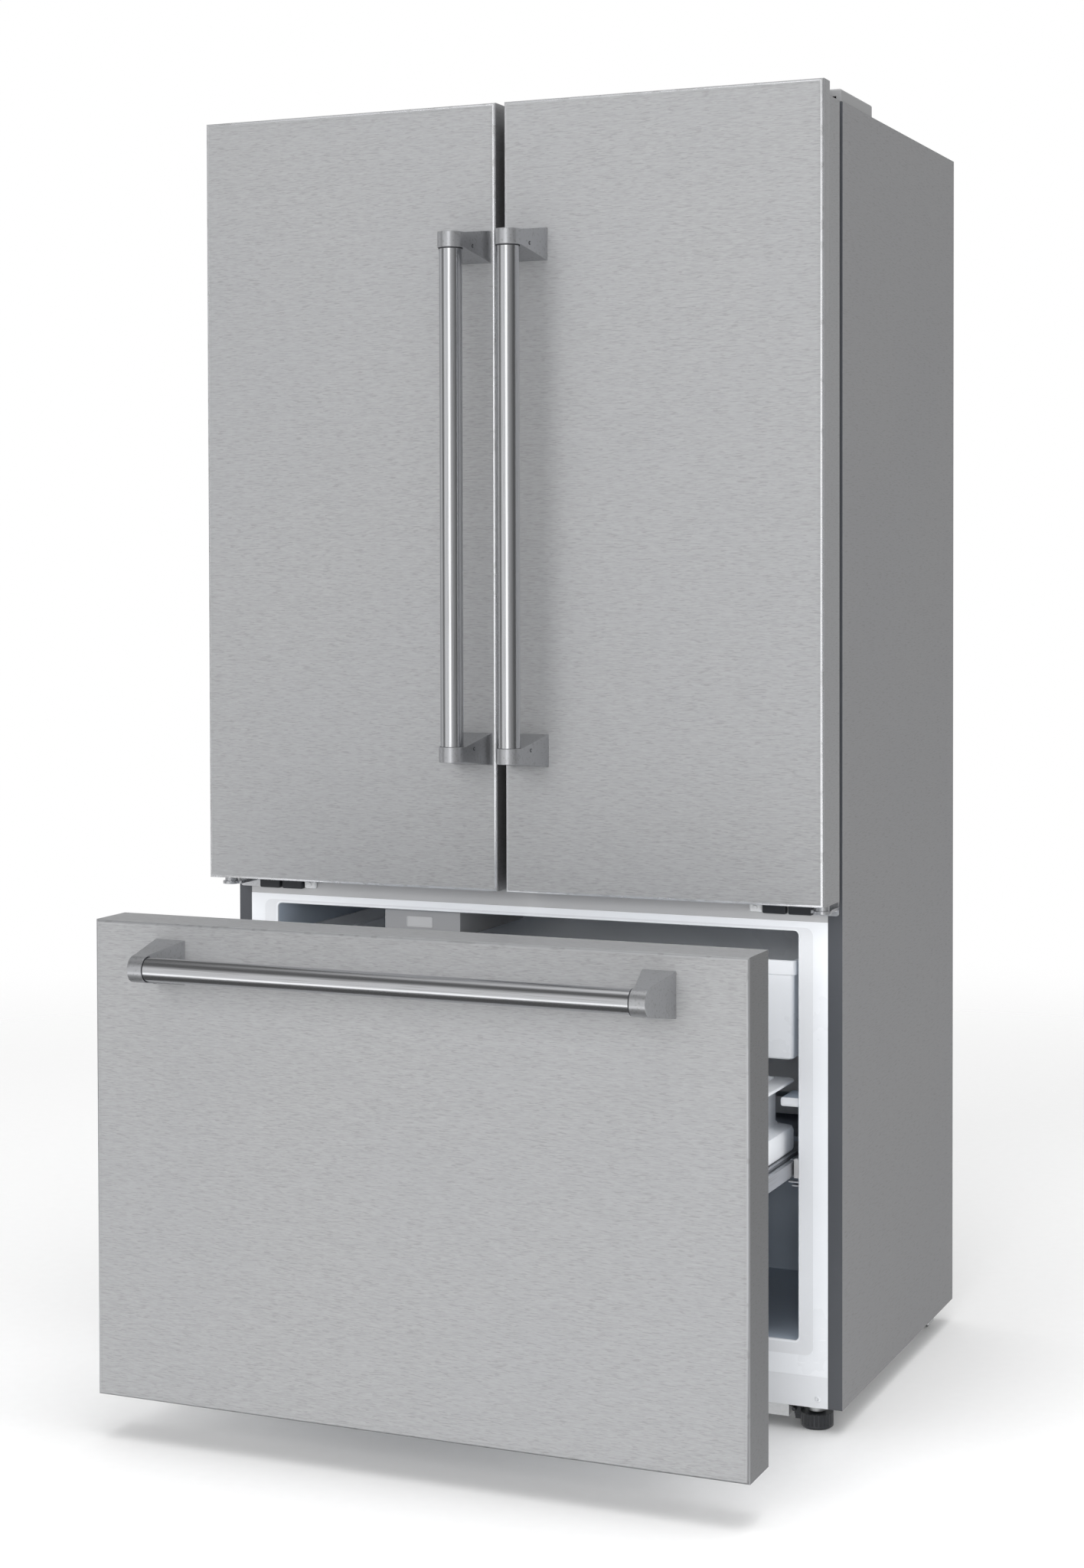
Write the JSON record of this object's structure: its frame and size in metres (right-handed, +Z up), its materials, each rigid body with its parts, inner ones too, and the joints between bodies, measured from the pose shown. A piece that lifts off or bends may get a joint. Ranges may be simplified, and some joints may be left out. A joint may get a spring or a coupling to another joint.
{
  "type": "french door refrigerator",
  "caption": "Free-standing refrigerator with paired upper doors, bar handles and a full-width bottom freezer drawer on rails.",
  "frame": {"origin": "on the floor, under the middle of the object's box with the drawer pulled out as stored", "axes": "+Z up, +Y towards the back of the cabinet, +X to the right as seen from the front"},
  "size_m": [0.908, 1.059, 1.78],
  "materials": {
    "stainless": "horizontal brushed grain, satin",
    "painted_side": "fine pebbled grey paint, satin",
    "galvanised_steel": "bright zinc plate",
    "hinge_metal": "grey paint",
    "hinge_cover_plastic": "fine moulded texture",
    "foam": "rigid foam, hidden",
    "white_liner": "cool white moulded plastic",
    "grey_plastic": "light grey moulded plastic",
    "clear_plastic": "clear moulded plastic",
    "shelf_glass": "clear toughened glass",
    "gasket_rubber": "soft dark grey seal",
    "black_plastic": "fine moulded texture",
    "black_paint": "semi gloss black paint",
    "coil_aluminium": "thin fins",
    "valve_plastic": "moulded body"
  },
  "bodies": {
    "cabinet": {"left_side_panel": "painted_side", "right_side_panel": "painted_side", "top_panel": "painted_side", "back_panel": "galvanised_steel", "base_pan": "galvanised_steel", "cabinet_foam": "foam", "fridge_liner": "white_liner", "freezer_liner": "white_liner", "mullion_cover": "grey_plastic", "base_cover": "white_liner", "top_hinges": "hinge_metal", "top_hinge_covers": "hinge_cover_plastic", "middle_hinges": "galvanised_steel", "glass_shelves": "shelf_glass", "air_duct": "white_liner", "ice_maker": "grey_plastic", "evaporator_cover": "white_liner", "evaporator_coil": "coil_aluminium", "outer_rails": "galvanised_steel", "compressor": "black_paint", "condenser_coil": "black_paint", "condenser_shroud": "black_plastic", "drain_pan": "black_plastic", "machine_cover": "galvanised_steel", "water_valve": "valve_plastic", "cord_inlet": "black_plastic"},
    "freezer_drawer": {"drawer_skin": "stainless", "drawer_foam": "foam", "drawer_inner_panel": "white_liner", "drawer_gasket": "gasket_rubber", "drawer_handle_bar": "stainless", "drawer_handle_brackets": "stainless", "drawer_side_frames": "galvanised_steel", "freezer_basket": "white_liner", "inner_rails": "galvanised_steel"},
    "middle_rails": {"middle_rails": "galvanised_steel"},
    "upper_freezer_drawer": {"upper_freezer_drawer": "white_liner"},
    "left_crisper": {"left_crisper": "clear_plastic"},
    "right_crisper": {"right_crisper": "clear_plastic"},
    "centre_mullion": {"centre_mullion": "black_plastic"},
    "evaporator_fan": {"evaporator_fan": "black_plastic"},
    "condenser_fan": {"condenser_fan": "black_plastic"},
    "left_levelling_foot": {"left_levelling_foot": "black_plastic"},
    "right_levelling_foot": {"right_levelling_foot": "black_plastic"},
    "left_rear_roller": {"left_rear_roller": "black_plastic"},
    "right_rear_roller": {"right_rear_roller": "black_plastic"},
    "left_door": {"left_door_skin": "stainless", "left_door_foam": "foam", "left_door_inner_panel": "white_liner", "left_door_gasket": "gasket_rubber", "left_door_handle_bar": "stainless", "left_door_handle_brackets": "stainless", "left_door_bins": "clear_plastic"},
    "right_door": {"right_door_skin": "stainless", "right_door_foam": "foam", "right_door_inner_panel": "white_liner", "right_door_gasket": "gasket_rubber", "right_door_handle_bar": "stainless", "right_door_handle_brackets": "stainless", "right_door_bins": "clear_plastic"}
  },
  "joints": [
    {"name": "left_door_hinge", "type": "hinge", "parent": "cabinet", "child": "left_door", "pos_m": [-0.441, -0.1045, 1.24625], "axis": [0, 0, -1], "range_deg": [0, 110]},
    {"name": "right_door_hinge", "type": "hinge", "parent": "cabinet", "child": "right_door", "pos_m": [0.441, -0.1045, 1.24625], "axis": [0, 0, 1], "range_deg": [0, 110]},
    {"name": "mullion_hinge", "type": "hinge", "parent": "left_door", "child": "centre_mullion", "pos_m": [-0.038, -0.0645, 1.24625], "axis": [0, 0, 1], "range_deg": [0, 90]},
    {"name": "freezer_drawer_slide", "type": "slide", "parent": "cabinet", "child": "freezer_drawer", "axis": [0, -1, 0], "range_m": [-0.3, 0.1]},
    {"name": "middle_rail_slide", "type": "slide", "parent": "cabinet", "child": "middle_rails", "axis": [0, -1, 0], "range_m": [-0.15, 0.05]},
    {"name": "upper_drawer_slide", "type": "slide", "parent": "cabinet", "child": "upper_freezer_drawer", "axis": [0, -1, 0], "range_m": [0, 0.25]},
    {"name": "left_crisper_slide", "type": "slide", "parent": "cabinet", "child": "left_crisper", "axis": [0, -1, 0], "range_m": [0, 0.03]},
    {"name": "right_crisper_slide", "type": "slide", "parent": "cabinet", "child": "right_crisper", "axis": [0, -1, 0], "range_m": [0, 0.03]},
    {"name": "evaporator_fan_spin", "type": "hinge", "parent": "cabinet", "child": "evaporator_fan", "pos_m": [0, 0.4245, 0.61], "axis": [0, 1, 0], "continuous": true},
    {"name": "condenser_fan_spin", "type": "hinge", "parent": "cabinet", "child": "condenser_fan", "pos_m": [0.02, 0.4225, 0.15], "axis": [1, 0, 0], "continuous": true},
    {"name": "left_foot_screw", "type": "hinge", "parent": "cabinet", "child": "left_levelling_foot", "pos_m": [-0.41, -0.0275, 0.01], "axis": [0, 0, 1], "continuous": true},
    {"name": "right_foot_screw", "type": "hinge", "parent": "cabinet", "child": "right_levelling_foot", "pos_m": [0.41, -0.0275, 0.01], "axis": [0, 0, 1], "continuous": true},
    {"name": "left_roller_spin", "type": "hinge", "parent": "cabinet", "child": "left_rear_roller", "pos_m": [-0.42, 0.4825, 0.015], "axis": [1, 0, 0], "continuous": true},
    {"name": "right_roller_spin", "type": "hinge", "parent": "cabinet", "child": "right_rear_roller", "pos_m": [0.42, 0.4825, 0.015], "axis": [1, 0, 0], "continuous": true}
  ],
  "couplings": [
    {"joint": "mullion_hinge", "follows": "left_door_hinge", "ratio": 0.818},
    {"joint": "middle_rail_slide", "follows": "freezer_drawer_slide", "ratio": 0.5}
  ]
}
